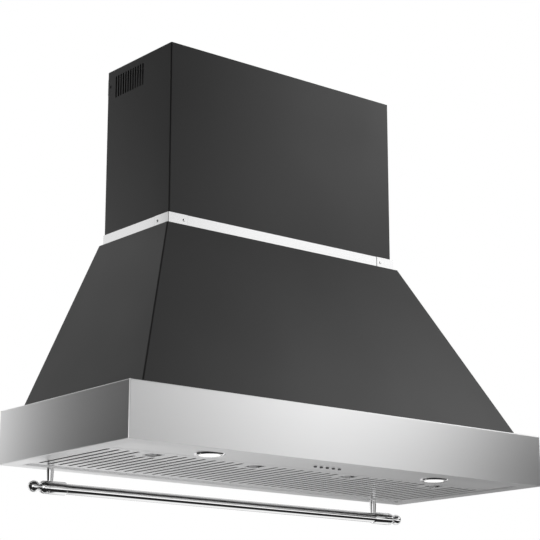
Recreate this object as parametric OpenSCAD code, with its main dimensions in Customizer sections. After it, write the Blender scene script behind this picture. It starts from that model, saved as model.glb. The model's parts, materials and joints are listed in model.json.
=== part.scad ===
// Wall-mounted range hood: brushed steel base, black canopy and chimney, polished trim band, chrome rail.
// X runs along the wall, Y points into the wall and Z points up.
// Heights in the modules are measured up from the base's bottom edge. placed() then moves them,
// so that the origin is the centre of the four screw holes of the wall hooks, on the wall's plane.

/* [Base] */
// Width of the base, which is the width of the hood
hood_w = 1200; // [1000:10:1400]
// Depth of the base from the wall to its front
hood_d = 500; // [480:5:560]
// Height of the base
base_h = 120; // [100:1:150]
// Sheet thickness of the base
base_t = 1.5; // [1:0.1:2]
// Width of the returns under the base's sides and rear
lip_w = 38; // [34:1:44]
// Width of the return under the base's front
front_lip_w = 44; // [30:1:50]
// Height of the underside panel's face above the base's bottom edge
underside_recess = 2.8; // [2.2:0.1:4]

/* [Canopy] */
// Height of the sloped canopy
canopy_h = 420; // [360:5:480]
// Sheet thickness of the canopy
canopy_t = 1.5; // [1:0.1:2]
// Step from the base's side to the canopy's foot
foot_side_step = 50; // [35:1:55]
// Step from the base's front to the canopy's foot
foot_front_step = 28; // [20:1:40]
// Ledge round the trim band at the canopy's top
ledge_w = 9.5; // [6:0.5:16]

/* [Trim band] */
// Visible height of the trim band
band_h = 26.5; // [20:0.5:34]
// Thickness of the band's strips
band_t = 2.9; // [2:0.1:4]
// Thickness of the corner pieces that cover the strips' joints
corner_t = 1; // [0.8:0.1:1.5]
// Length of each leg of a corner piece
corner_leg = 54; // [45:1:70]

/* [Chimney] */
// Width of the chimney
chimney_w = 680; // [640:10:760]
// Depth of the chimney
chimney_d = 262; // [262:2:300]
// Length of the chimney
chimney_len = 620; // [580:10:700]
// Length of the chimney that is hidden below the band's top edge
chimney_sunk = 210; // [200:5:240]
// Sheet thickness of the chimney
chimney_t = 1.2; // [0.8:0.1:1.6]
// Number of vent slots in each side of the chimney
vent_count = 12; // [6:1:14]
// Height of a vent slot
vent_h = 54; // [30:1:70]
// Width of a vent slot
vent_w = 5.5; // [3:0.1:7]

/* [Filters] */
// Number of baffle filters
filter_count = 4; // [4:1:4]
// Depth of the strip in front of the filters, which carries the lights and buttons
front_strip_d = 137.8; // [134:0.1:150]
// Thickness of a filter
filter_h = 12; // [11.5:0.1:14]
// Distance between neighbouring slots in a filter's face
slot_pitch = 24.8; // [23:0.1:26]
// Width of a slot
slot_w = 8; // [5:0.1:9]

/* [Lights and buttons] */
// Distance of each light's middle from the side of the hood
bezel_from_side = 270; // [200:5:350]
// Outer diameter of a light's bezel
bezel_dia = 68; // [60:1:74]
// How far a bezel stands out below the underside
bezel_drop = 3.5; // [2:0.1:6]
// Distance between neighbouring buttons
button_pitch = 17.7; // [15:0.1:22]
// Diameter of a button's cap
button_dia = 7.8; // [6:0.1:9]
// Travel of a button
button_travel = 1.5; // [1:0.1:1.8]

/* [Rail] */
// Diameter of the rail's tube
rail_dia = 24; // [18:0.5:26]
// Diameter of the sleeves at the tube's ends
sleeve_dia = 30; // [28:0.5:34]
// Length of a sleeve
sleeve_len = 65; // [50:1:80]
// Diameter of the ball at each end
ball_dia = 26; // [20:0.5:30]
// Height of the rail's axis below the base's bottom edge
rail_drop = 43; // [38:0.5:70]
// Distance of each post from the side of the hood
post_from_side = 115.5; // [100:0.5:160]
// How much shorter than the hood the rail is at each end, up to the sleeves' outer ends
rail_inset = 71; // [55:0.5:85]

/* [Blower] */
// Diameter of the duct collar
duct_dia = 150; // [120:1:150]
// Height of the duct collar
collar_h = 60; // [50:1:80]
// Diameter of the impeller
impeller_dia = 176; // [150:1:176]
// Width of the impeller
impeller_w = 120; // [100:1:140]
// Number of impeller blades
blade_count = 30; // [16:1:36]

/* [Hidden] */
$fn = 64;
// Overrun of every cut past the face that it opens
over = 0.5;
// Gap between two pieces that move past each other
run_gap = 0.3;
// Radial running clearance of a shaft or pin in its bore
shaft_gap = 0.05;
// Radial gap round a screw, stud or lamp in its hole
hole_gap = 0.2;

// Outside radius of the bends in the base and the chimney
bend_r = 3;
// Width of the folded hem that carries the underside panel
hem_w = 8;
// Width of the returns at the top of the base
top_lip_w = 70;
// Thickness of the underside panel
panel_t = 1.2;
// Side margin between the returns and the filters
filter_margin = 9.2;
// Gap between neighbouring filters, and between filters and panel at the sides
filter_gap = 0.8;
// Gap behind the filters, which is the dark line at the rear of the underside
filter_rear_gap = 1.5;
// Gap in front of the filters
filter_front_gap = 1.2;
// Distance of the opening's rear edge from the wall
opening_rear_y = 47.5;
opening_half_w = hood_w / 2 - lip_w - filter_margin + filter_gap / 2;
opening_front_y = hood_d - front_strip_d;
filter_pitch = 2 * (hood_w / 2 - lip_w - filter_margin) / filter_count;
filter_w = filter_pitch - filter_gap;
filter_rear_y = opening_rear_y + filter_rear_gap;
filter_front_y = opening_front_y - filter_front_gap;
panel_top_z = underside_recess + panel_t;
base_roof_z = base_h - base_t;
lip_in_x = hood_w / 2 - lip_w;
lip_in_y = hood_d - front_lip_w;

// Canopy
foot_w = hood_w - 2 * foot_side_step;
foot_d = hood_d - foot_front_step;
foot_return_w = 15;
// Gap between the chimney and the band that it slides in
chimney_gap = 0.5;
band_half_w = chimney_w / 2 + chimney_gap + band_t;
band_front_y = chimney_d + chimney_gap + band_t;
canopy_top_w = 2 * (band_half_w + ledge_w);
canopy_top_d = band_front_y + ledge_w;
canopy_top_z = base_h + canopy_h;
band_top_z = canopy_top_z + band_h;
// Height of the folded collar inside the canopy's top that holds the band
collar_fold_h = 18;
band_low_z = canopy_top_z - collar_fold_h;

// Band
band_screw_from_corner = 42;
band_screw_head_r = 3.3;
band_screw_head_h = 1.6;
band_screw_r = 1.6;
head_crown_share = 0.75;

// Chimney
chimney_wall_gap = 2.5;
chimney_bottom_z = band_top_z - chimney_sunk;
chimney_top_z = chimney_bottom_z + chimney_len;
vent_pitch = 10.1;
vent_first_y = 36.8;
vent_below_top = 18.5;
vent_top_z = chimney_top_z - vent_below_top;
vent_last_y = vent_first_y + (vent_count - 1) * vent_pitch;
cowl_t = 1;
cowl_d = 25;
cowl_margin = 3;
chimney_screw_y = 10.4;
chimney_screw_below_top = 38;
chimney_screw_z = chimney_top_z - chimney_screw_below_top;
chimney_screw_r = 2;
chimney_screw_head_r = 3.2;
chimney_screw_head_h = 1.4;
bracket_t = 2;
bracket_h = 40;
bracket_tab_d = 30;
bracket_hole_spacing = 400;
bracket_hole_r = 3;

// Wall hooks and back plate
back_t = 1.5;
back_return_d = 20;
hook_x = 300;
hook_top_z = 420;
hook_w = 60;
hook_plate_h = 70;
hook_t = 3;
hook_reach = 20;
hook_lip_h = 8;
hook_hole_spacing = 40;
hook_hole_r = 4;
hook_hole_below = 15;
window_gap = 5;
hang_z = hook_top_z - hook_hole_below - hook_hole_spacing / 2;
lower_hole_from_side = 80;
lower_hole_x = hood_w / 2 - lower_hole_from_side;
lower_hole_z = 60;
lower_hole_r = 3;

// Filters
face_t = 1;
frame_t = 1;
frame_return_w = 8;
slot_end_margin = 19.5;
slot_edge_margin = 13;
slot_count = floor((filter_w - 2 * slot_edge_margin) / slot_pitch) + 1;
short_slot_cut = 50;
baffle_w = 16.4;
baffle_t = 0.8;
baffle_leg_h = 6.8;
hook_tab_w = 30;
hook_tab_l = 8.5;
hook_tab_t = 1.2;
hook_tab_x = 80;
face_top_z = underside_recess + face_t;
filter_top_z = underside_recess + filter_h;

// Latch
latch_travel = 5;
grip_w = 36;
grip_d = 34;
grip_front_margin = 20;
cup_t = 1;
cup_h = 3;
short_half_w = grip_w / 2 + cup_t + baffle_w / 2;
cup_rear_gap = 2;
keeper_clear = 4;
latch_t = 1.5;
latch_tab_w = 20;
latch_tab_drop = 3.3;
latch_lip_d = 8;
latch_tab_from_grip = 26;
latch_plate_w = 24;
bolt_w = 14;
bolt_tip_gap = 3;
guide_t = 1;
guide_lip_w = 2;
keeper_t = 1;
keeper_d = 6;
grip_front_y = filter_front_y - grip_front_margin;
grip_rear_y = grip_front_y - grip_d;
cup_roof_z = face_top_z + cup_h;
latch_z = cup_roof_z + cup_t + run_gap;
short_baffle_y = grip_rear_y - cup_t - cup_rear_gap;
latch_tab_y = grip_front_y - latch_tab_from_grip;
bolt_tip_y = filter_front_y - bolt_tip_gap;

// Filter rails
rail_sheet_t = 1.2;
filter_rail_h = 18;
rear_rail_ledge = 22;
rear_rail_y = 36;
front_rail_ledge = 19;
front_rail_y = opening_front_y + 8;
filter_rail_top_z = panel_top_z + filter_rail_h;

// Lights
light_x = hood_w / 2 - bezel_from_side;
light_from_front = 92;
light_y = hood_d - light_from_front;
lens_dia = 54;
lens_show_dia = 46;
lens_t = 2;
bezel_lip_t = 1;
bezel_neck_t = 1.4;
bezel_neck_h = 9;
light_hole_r = lens_dia / 2 + bezel_neck_t + 2 * hole_gap;
lamp_cap_h = 14;
bezel_low_z = underside_recess - bezel_drop;
lens_low_z = bezel_low_z + bezel_lip_t;
neck_top_z = panel_top_z + bezel_neck_h;

// Buttons and their control housing
button_count = 5;
button_from_front = 93;
button_y = hood_d - button_from_front;
button_drop = 2.4;
button_flange_dia = 11;
button_flange_t = 1.5;
button_stem_dia = 4;
button_stem_top_gap = 0.3;
housing_w = 120;
housing_d = 44;
housing_h = 18;
housing_t = 2;
board_t = 1.6;
board_inset = 0.5;
switch_w = 6;
switch_h = 4;
board_z = panel_top_z + housing_h - board_t;
button_low_z = underside_recess - button_drop;
button_flange_z = panel_top_z + housing_t + run_gap;
switch_low_z = board_z - switch_h;

// Rail under the rear of the base
post_x = hood_w / 2 - post_from_side;
rail_len = hood_w - 2 * rail_inset;
rail_y = 27;
rail_shift_x = 19;
post_flange_r = 9.2;
post_flange_t = 1.5;
post_top_r = 8.4;
post_bottom_r = 6.2;
stud_r = 3;
post_nut_r = 6;
post_nut_h = 4;
nut_sides = 6;
sleeve_taper_len = 9;
sleeve_end_dia = 19;
rail_tube_t = 1.5;
neck_dia = 9;
neck_ring_dia = 14;
neck_ring_t = 2;
ball_from_sleeve = 16;
sleeve_outer_x = rail_len / 2;
sleeve_inner_x = sleeve_outer_x - sleeve_len;
tube_end_x = sleeve_outer_x - sleeve_taper_len;

// Motor box, blower and duct collar
motor_box_w = 416;
motor_box_d = 244;
motor_box_h = 300;
motor_box_t = 1.2;
motor_box_wall_gap = 8;
motor_box_flange = 14;
motor_box_rear_y = motor_box_wall_gap;
motor_box_front_y = motor_box_rear_y + motor_box_d;
motor_box_z = base_roof_z;
motor_box_top_z = motor_box_z + motor_box_h;
scroll_t = 1.2;
scroll_side_gap = 6;
scroll_tongue_gap = 6;
scroll_growth = 34;
scroll_rear_gap = 3;
scroll_floor_gap = 10;
scroll_step_deg = 10;
scroll_start_deg = 20;
scroll_end_deg = 270;
scroll_w = impeller_w + 2 * scroll_side_gap;
scroll_r_min = impeller_dia / 2 + scroll_tongue_gap;
scroll_r_max = scroll_r_min + scroll_growth;
wheel_y = motor_box_rear_y + motor_box_t + scroll_rear_gap + scroll_t + scroll_radius(90);
wheel_z = motor_box_z + scroll_floor_gap + scroll_t + scroll_radius(180);
inlet_lip_w = 18;
inlet_r = impeller_dia / 2 - inlet_lip_w;
blade_depth = 15;
blade_t = 1;
blade_lean_deg = 35;
wheel_ring_w = 4;
wheel_ring_in_r = impeller_dia / 2 - blade_depth - blade_t;
blade_len = impeller_w - wheel_ring_w;
wheel_disc_t = 2;
hub_r = 12;
hub_len = 24;
shaft_r = 4;
shaft_beyond_hub = 6;
motor_r = 45;
motor_len = 46;
motor_gap = 4;
motor_boss_r = 16;
shaft_bore_len = 40;
shaft_end_gap = 0.5;
motor_face_x = -wheel_disc_t / 2 - motor_gap;
spider_t = 2;
spider_ring_r = 28;
spider_arm_w = 12;
spider_reach = 14;
spider_arms = 3;
collar_t = 1.2;
collar_flange_t = 1.5;
collar_flange_w = 3;
collar_y = motor_box_front_y - motor_box_t - scroll_t - duct_dia / 2;
collar_z = motor_box_top_z + collar_flange_t;
outlet_hole_r = duct_dia / 2 - 4;
stop_ring_w = 3;
stop_ring_t = 1.5;
stop_ring_z = collar_z + 10;
flap_t = 1.2;
flap_gap = 0.6;
flap_pin_r = 1.5;
flap_barrel_r = 3;
flap_barrel_len = 26;
flap_z = stop_ring_z + stop_ring_t + run_gap;
flap_pin_z = flap_z + flap_barrel_r;
flap_r = duct_dia / 2 - collar_t - flap_gap;

// Electrical boxes
terminal_box_w = 100;
terminal_box_d = 80;
terminal_box_h = 42;
terminal_box_from_side = 150;
terminal_box_x = -hood_w / 2 + terminal_box_from_side;
terminal_box_y = 150;
terminal_lid_t = 2;
driver_w = 120;
driver_d = 45;
driver_h = 28;
driver_from_side = 220;
driver_x = hood_w / 2 - driver_from_side;
driver_y = 150;

// Screws that hold the canopy and the motor box down
screw_r = 2;
screw_head_r = 4;
screw_head_h = 2;
canopy_screw_side_share = [0.2, 0.8];
canopy_screw_front_share = [-0.8, -0.3, 0.3, 0.8];
motor_screw_share = [-0.8, 0, 0.8];

// Colours
brushed_steel = [0.78, 0.78, 0.77];
polished_steel = [0.86, 0.86, 0.87];
black_paint = [0.08, 0.08, 0.085];
galvanised = [0.66, 0.68, 0.7];
chrome = [0.9, 0.9, 0.92];
lamp_white = [0.98, 0.98, 0.95];
dark_plastic = [0.12, 0.12, 0.13];
grey_plastic = [0.45, 0.46, 0.48];
board_green = [0.1, 0.35, 0.2];

BUTTONS = [
    "fan_off_button", "low_speed_button", "middle_speed_button", "high_speed_button", "light_button"
];

// Moves heights above the base's bottom edge into the part's frame
module placed() {
    translate([0, 0, -hang_z]) children();
}

// A box between two opposite corners
module box_between(low, high) {
    translate(low) cube(high - low);
}

// The children and their mirror image across the hood's middle
module both_sides() {
    children();
    mirror([1, 0, 0]) children();
}

// Plan of a sheet that starts at the wall's plane and has round front corners
module front_rounded(w, d, r) {
    translate([-w / 2 + r, -d]) square([w - 2 * r, d]);
    translate([-w / 2, -d + r]) square([w, d - r]);
    for (side = [-1, 1])
        translate([side * (w / 2 - r), -d + r]) circle(r);
}

// Upright wall that runs round the front and both sides
module u_wall(w, d, r, t, h) {
    linear_extrude(h) difference() {
        front_rounded(w, d, r);
        translate([0, over]) front_rounded(w - 2 * t, d - t + over, r - t);
    }
}

// Flat ring that runs round the front and both sides, open at the wall
module u_ring(w, d, r, side_w, front_w, h) {
    difference() {
        linear_extrude(h) front_rounded(w, d, r);
        box_between([-w / 2 + side_w, -d + front_w, -over], [w / 2 - side_w, over, h + over]);
    }
}

// Upright cylinder between two heights
module drum(r, low_z, high_z) {
    translate([0, 0, low_z]) cylinder(r = r, h = high_z - low_z);
}

// Hole of a given depth that starts one overrun in front of the children's origin and points to -Y
module hole_through(r, depth) {
    translate([0, over, 0]) rotate([90, 0, 0]) cylinder(r = r, h = depth + 2 * over);
}

// Cylinder along X between two places
module bar_x(r, low_x, high_x) {
    translate([low_x, 0, 0]) rotate([0, 90, 0]) cylinder(r = r, h = high_x - low_x);
}

// Slot along Y with round ends, cut from low_z to high_z
module slot_y(w, low_y, high_y, low_z, high_z) {
    box_between([-w / 2, low_y + w / 2, low_z], [w / 2, high_y - w / 2, high_z]);
    for (y = [low_y + w / 2, high_y - w / 2])
        translate([0, y, 0]) drum(w / 2, low_z, high_z);
}

// Base

module base_shell() placed() color(brushed_steel) {
    u_wall(hood_w, hood_d, bend_r, base_t, base_h);
    u_ring(hood_w, hood_d, bend_r, lip_w, front_lip_w, base_t);
    difference() {
        translate([0, 0, base_roof_z]) u_ring(hood_w, hood_d, bend_r, top_lip_w, top_lip_w, base_t);
        canopy_screw_places() drum(screw_r + hole_gap, base_roof_z - over, base_h + over);
    }
    // Folded hem along the inner edge of the bottom return
    difference() {
        box_between([-lip_in_x - hem_w, -lip_in_y - hem_w, 0], [lip_in_x + hem_w, 0, underside_recess]);
        box_between([-lip_in_x, -lip_in_y, -over], [lip_in_x, over, underside_recess + over]);
    }
}

module base_rear_panel() placed() color(brushed_steel) difference() {
    union() {
        box_between([-hood_w / 2 + base_t, -base_t, 0], [hood_w / 2 - base_t, 0, base_roof_z - base_t]);
        box_between([-lip_in_x, -lip_w, 0], [lip_in_x, 0, base_t]);
        box_between([-lip_in_x, -lip_w, 0], [lip_in_x, -lip_w + hem_w, underside_recess]);
    }
    // The shell's side returns and hems run to the wall past the rear panel
    both_sides() {
        box_between([lip_in_x, -lip_w, -over], [hood_w / 2, over, base_t]);
        box_between([lip_in_x, -lip_w, -over], [lip_in_x + hem_w, over, underside_recess]);
        translate([lower_hole_x, 0, lower_hole_z]) hole_through(lower_hole_r, base_t);
        translate([post_x, -rail_y, 0]) drum(stud_r + hole_gap, -over, base_t + over);
    }
}

module base_top_panel() placed() color(galvanised) difference() {
    translate([0, 0, base_roof_z - base_t]) linear_extrude(base_t)
        front_rounded(hood_w - 2 * base_t, hood_d - base_t, bend_r - base_t);
    box_between(
        [-motor_box_w / 2 + motor_box_t, -motor_box_front_y + motor_box_t, base_roof_z - base_t - over],
        [motor_box_w / 2 - motor_box_t, -motor_box_rear_y - motor_box_t, base_roof_z + over]
    );
    canopy_screw_places() drum(screw_r + hole_gap, base_roof_z - base_t - over, base_roof_z + over);
    motor_screw_places() drum(screw_r + hole_gap, base_roof_z - base_t - over, base_roof_z + over);
}

module underside_panel() placed() color(polished_steel) difference() {
    translate([0, 0, underside_recess]) linear_extrude(panel_t)
        front_rounded(hood_w - 2 * base_t, hood_d - base_t, bend_r - base_t);
    // The rear panel's wall stands behind the panel
    box_between([-hood_w / 2, -base_t, 0], [hood_w / 2, over, panel_top_z + over]);
    box_between(
        [-opening_half_w, -opening_front_y, underside_recess - over],
        [opening_half_w, -opening_rear_y, panel_top_z + over]
    );
    both_sides() {
        translate([light_x, -light_y, 0]) panel_hole(light_hole_r);
        translate([post_x, -rail_y, 0]) panel_hole(stud_r + hole_gap);
    }
    button_places() panel_hole(button_dia / 2 + run_gap);
}

module panel_hole(r) {
    drum(r, underside_recess - over, panel_top_z + over);
}

// Rails that carry the filters' rear edges and keep their front edges

module filter_rear_rail() placed() color(galvanised) {
    box_between([-opening_half_w, -rear_rail_y, panel_top_z],
        [opening_half_w, -rear_rail_y + rail_sheet_t, filter_rail_top_z]);
    box_between([-opening_half_w, -rear_rail_y - rear_rail_ledge, filter_rail_top_z - rail_sheet_t],
        [opening_half_w, -rear_rail_y, filter_rail_top_z]);
}

module filter_front_rail() placed() color(galvanised) {
    box_between([-opening_half_w, -front_rail_y, panel_top_z],
        [opening_half_w, -front_rail_y + rail_sheet_t, filter_rail_top_z]);
    box_between([-opening_half_w, -front_rail_y, filter_rail_top_z - rail_sheet_t],
        [opening_half_w, -front_rail_y + front_rail_ledge, filter_rail_top_z]);
}

// Spring legs that hang from the front rail and pinch each latch's bolt from both sides
module latch_keepers() placed() color(polished_steel)
    for (n = [1:filter_count]) translate([filter_x(n), 0, 0]) both_sides() {
        box_between([bolt_w / 2 + run_gap, -bolt_tip_y, latch_z - latch_t],
            [bolt_w / 2 + run_gap + keeper_t, -bolt_tip_y + keeper_d, filter_rail_top_z - rail_sheet_t]);
    }

// Filters

function filter_x(n) = (n - (filter_count + 1) / 2) * filter_pitch;
function slot_x(i) = (i - (slot_count - 1) / 2) * slot_pitch;
function is_short(i) = abs(slot_x(i)) < short_half_w;
function slot_front_y(i) = filter_front_y - slot_end_margin - (is_short(i) ? short_slot_cut : 0);

module filter_face(n) placed() color(polished_steel) translate([filter_x(n), 0, 0]) {
    cut_low_z = underside_recess - over;
    difference() {
        box_between([-filter_w / 2, -filter_front_y, underside_recess],
            [filter_w / 2, -filter_rear_y, face_top_z]);
        for (i = [0:slot_count - 1]) translate([slot_x(i), 0, 0])
            slot_y(slot_w, -slot_front_y(i), -filter_rear_y - slot_end_margin, cut_low_z, face_top_z + over);
        grip_cut(0, cut_low_z, face_top_z + over);
    }
    // Finger cup over the grip opening, with a slot in its roof for the latch's tab
    difference() {
        grip_cut(cup_t, face_top_z, cup_roof_z + cup_t);
        grip_cut(0, face_top_z - over, cup_roof_z);
        tab_slot_rear_y = -latch_tab_y + latch_t + latch_travel + run_gap;
        box_between([-latch_tab_w / 2 - run_gap, -latch_tab_y - run_gap, cup_roof_z - over],
            [latch_tab_w / 2 + run_gap, tab_slot_rear_y, cup_roof_z + cup_t + over]);
    }
    // Wall behind the cup that carries the short baffles
    box_between([-grip_w / 2 - cup_t, -short_baffle_y - cup_t, face_top_z],
        [grip_w / 2 + cup_t, -short_baffle_y, filter_top_z - frame_t]);
    // Guides with lips that hold the latch's plate on the cup
    guide_x = latch_plate_w / 2 + run_gap;
    guide_top_z = latch_z + latch_t + run_gap;
    both_sides() {
        box_between([guide_x, -grip_front_y, cup_roof_z + cup_t],
            [guide_x + guide_t, -grip_rear_y, guide_top_z + guide_t]);
        box_between([guide_x - guide_lip_w, -grip_front_y, guide_top_z],
            [guide_x, -grip_rear_y, guide_top_z + guide_t]);
    }
}

// Outline of the grip opening, grown by a margin, between two heights
module grip_cut(margin, low_z, high_z) {
    box_between([-grip_w / 2 - margin, -grip_front_y - margin, low_z],
        [grip_w / 2 + margin, -grip_rear_y + margin, high_z]);
}

// Frame and baffles of one filter, spot-welded together
module filter_frame(n) placed() color(polished_steel) translate([filter_x(n), 0, 0]) {
    difference() {
        box_between([-filter_w / 2, -filter_front_y, face_top_z],
            [filter_w / 2, -filter_rear_y, filter_top_z]);
        box_between([-filter_w / 2 + frame_t, -filter_front_y + frame_t, face_top_z - over],
            [filter_w / 2 - frame_t, -filter_rear_y - frame_t, filter_top_z - frame_t]);
        box_between([-filter_w / 2 + frame_return_w, -filter_front_y + frame_return_w, face_top_z - over],
            [filter_w / 2 - frame_return_w, -filter_rear_y - frame_return_w, filter_top_z + over]);
        // Cut-out in the top return for the keeper's legs
        box_between([-bolt_w / 2 - keeper_clear, -filter_front_y + frame_t, filter_top_z - frame_t - over],
            [bolt_w / 2 + keeper_clear, -filter_front_y + frame_return_w + over, filter_top_z + over]);
    }
    for (i = [0:slot_count - 1]) translate([slot_x(i), 0, 0]) baffle(i);
    // Tabs that rest over the panel's edge behind the filter
    for (side = [-1, 1]) translate([side * hook_tab_x, 0, 0])
        box_between([-hook_tab_w / 2, -filter_rear_y - frame_t, panel_top_z + run_gap],
            [hook_tab_w / 2, -filter_rear_y + hook_tab_l, panel_top_z + run_gap + hook_tab_t]);
}

// Channel, open below, that covers one slot from above
module baffle(i) {
    front_y = is_short(i) ? short_baffle_y : filter_front_y - frame_t;
    top_z = filter_top_z - frame_t;
    difference() {
        box_between([-baffle_w / 2, -front_y, top_z - baffle_leg_h],
            [baffle_w / 2, -filter_rear_y - frame_t, top_z]);
        box_between([-baffle_w / 2 + baffle_t, -front_y - over, top_z - baffle_leg_h - over],
            [baffle_w / 2 - baffle_t, -filter_rear_y - frame_t + over, top_z - baffle_t]);
    }
}

// Sliding latch with its bolt and its pull tab
module filter_latch(n) placed() color(polished_steel) translate([filter_x(n), 0, 0]) {
    box_between([-latch_plate_w / 2, -grip_front_y - cup_t, latch_z],
        [latch_plate_w / 2, -latch_tab_y + latch_t, latch_z + latch_t]);
    box_between([-bolt_w / 2, -bolt_tip_y, latch_z], [bolt_w / 2, -grip_front_y, latch_z + latch_t]);
    box_between([-latch_tab_w / 2, -latch_tab_y, underside_recess - latch_tab_drop],
        [latch_tab_w / 2, -latch_tab_y + latch_t, latch_z + latch_t]);
    box_between([-latch_tab_w / 2, -latch_tab_y, underside_recess - latch_tab_drop],
        [latch_tab_w / 2, -latch_tab_y + latch_lip_d, underside_recess - latch_tab_drop + latch_t]);
}

// Lights

module light_bezels() placed() color(chrome) both_sides() translate([light_x, -light_y, 0])
    rotate_extrude() {
        neck_out = lens_dia / 2 + hole_gap + bezel_neck_t;
        neck_in = lens_dia / 2 + hole_gap;
        translate([lens_show_dia / 2, bezel_low_z])
            square([bezel_dia / 2 - bezel_drop - lens_show_dia / 2, bezel_lip_t]);
        // Sloped rim from the lip up to the panel's face
        polygon([
            [bezel_dia / 2 - bezel_drop, bezel_low_z],
            [bezel_dia / 2, underside_recess - bezel_lip_t],
            [bezel_dia / 2, underside_recess],
            [neck_in, underside_recess],
            [neck_in, bezel_low_z]
        ]);
        translate([neck_in, underside_recess - bezel_lip_t])
            square([neck_out - neck_in, neck_top_z - underside_recess + bezel_lip_t]);
    }

module light_lenses() placed() color(lamp_white) both_sides() translate([light_x, -light_y, 0])
    drum(lens_dia / 2, lens_low_z, lens_low_z + lens_t);

module lamp_bodies() placed() color(dark_plastic) both_sides() translate([light_x, -light_y, 0]) {
    drum(lens_dia / 2, lens_low_z + lens_t, neck_top_z);
    drum(lens_dia / 2 + 2 * bezel_neck_t, neck_top_z, neck_top_z + lamp_cap_h);
}

// Buttons

module button_places() {
    for (i = [0:button_count - 1])
        translate([(i - (button_count - 1) / 2) * button_pitch, -button_y, 0]) children();
}

module push_button(i) placed() color(chrome)
    translate([(i - (button_count - 1) / 2) * button_pitch, -button_y, 0]) {
        drum(button_dia / 2, button_low_z, button_flange_z);
        drum(button_flange_dia / 2, button_flange_z, button_flange_z + button_flange_t);
        drum(button_stem_dia / 2, button_flange_z, switch_low_z - button_travel - button_stem_top_gap);
    }

module control_housing() placed() color(dark_plastic) translate([0, -button_y, 0]) difference() {
    housing_slab(0, panel_top_z, panel_top_z + housing_h);
    housing_slab(housing_t, panel_top_z + housing_t, board_z);
    // Seat for the board at the top of the walls
    housing_slab(housing_t - board_inset, board_z, board_z + board_t + over);
    translate([0, button_y, 0]) button_places()
        drum(button_dia / 2 + run_gap, panel_top_z - over, panel_top_z + housing_t + over);
}

// Slab of the housing's plan, taken in by a margin, between two heights
module housing_slab(margin, low_z, high_z) {
    box_between([-housing_w / 2 + margin, -housing_d / 2 + margin, low_z],
        [housing_w / 2 - margin, housing_d / 2 - margin, high_z]);
}

module control_board() placed() color(board_green) translate([0, -button_y, 0])
    housing_slab(housing_t - board_inset, board_z, board_z + board_t);

module button_switches() placed() color(dark_plastic) button_places()
    box_between([-switch_w / 2, -switch_w / 2, switch_low_z], [switch_w / 2, switch_w / 2, board_z]);

// Canopy

// Solid with a flat back on the wall's plane and three sloped faces
module sloped_block(low_w, low_d, high_w, high_d, low_z, high_z) {
    function corners(w, d, z) = [[-w / 2, -d, z], [w / 2, -d, z], [w / 2, 0, z], [-w / 2, 0, z]];
    polyhedron(
        points = concat(corners(low_w, low_d, low_z), corners(high_w, high_d, high_z)),
        faces = [[0, 1, 2, 3], [4, 7, 6, 5], [0, 4, 5, 1], [1, 5, 6, 2], [2, 6, 7, 3], [3, 7, 4, 0]]
    );
}

// Canopy's outer width and depth at a height above its foot
function canopy_w_at(h) = foot_w + (canopy_top_w - foot_w) * h / canopy_h;
function canopy_d_at(h) = foot_d + (canopy_top_d - foot_d) * h / canopy_h;

module canopy_shell() placed() color(black_paint) {
    difference() {
        sloped_block(foot_w, foot_d, canopy_top_w, canopy_top_d, base_h, canopy_top_z);
        low_h = canopy_t;
        high_h = canopy_h - canopy_t;
        translate([0, over, 0]) sloped_block(
            canopy_w_at(low_h) - 2 * canopy_t, canopy_d_at(low_h) - canopy_t + over,
            canopy_w_at(high_h) - 2 * canopy_t, canopy_d_at(high_h) - canopy_t + over,
            base_h + low_h, base_h + high_h);
        box_between([-foot_w / 2 + foot_return_w, -foot_d + foot_return_w, base_h - over],
            [foot_w / 2 - foot_return_w, over, base_h + canopy_t + over]);
        box_between([-band_half_w, -band_front_y, canopy_top_z - canopy_t - over],
            [band_half_w, over, canopy_top_z + over]);
        canopy_screw_places() drum(screw_r + hole_gap, base_h - over, base_h + canopy_t + over);
    }
    // Folded collar that holds the band
    difference() {
        box_between([-band_half_w - canopy_t, -band_front_y - canopy_t, band_low_z],
            [band_half_w + canopy_t, -back_t, canopy_top_z - canopy_t]);
        box_between([-band_half_w, -band_front_y, band_low_z - over],
            [band_half_w, 0, canopy_top_z - canopy_t + over]);
    }
}

// Places of the screws through the canopy's foot
module canopy_screw_places() {
    side_x = foot_w / 2 - (canopy_t + foot_return_w) / 2;
    front_y = foot_d - (canopy_t + foot_return_w) / 2;
    for (share = canopy_screw_side_share) both_sides() translate([side_x, -share * foot_d, 0]) children();
    for (share = canopy_screw_front_share) translate([share * foot_w / 2, -front_y, 0]) children();
}

// Places of the screws through the motor box's side flanges
module motor_screw_places() {
    side_x = (motor_box_w + motor_box_flange) / 2;
    middle_y = (motor_box_rear_y + motor_box_front_y) / 2;
    for (share = motor_screw_share) both_sides()
        translate([side_x, -middle_y - share * motor_box_d / 2, 0]) children();
}

module body_screws() placed() color(galvanised) {
    canopy_screw_places() round_screw(base_h + canopy_t, base_roof_z - base_t);
    motor_screw_places() round_screw(motor_box_z + motor_box_t, base_roof_z - base_t);
}

// Screw with its head on head_z and its tip at tip_z
module round_screw(head_z, tip_z) {
    drum(screw_r, tip_z, head_z);
    drum(screw_head_r, head_z, head_z + screw_head_h);
}

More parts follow.
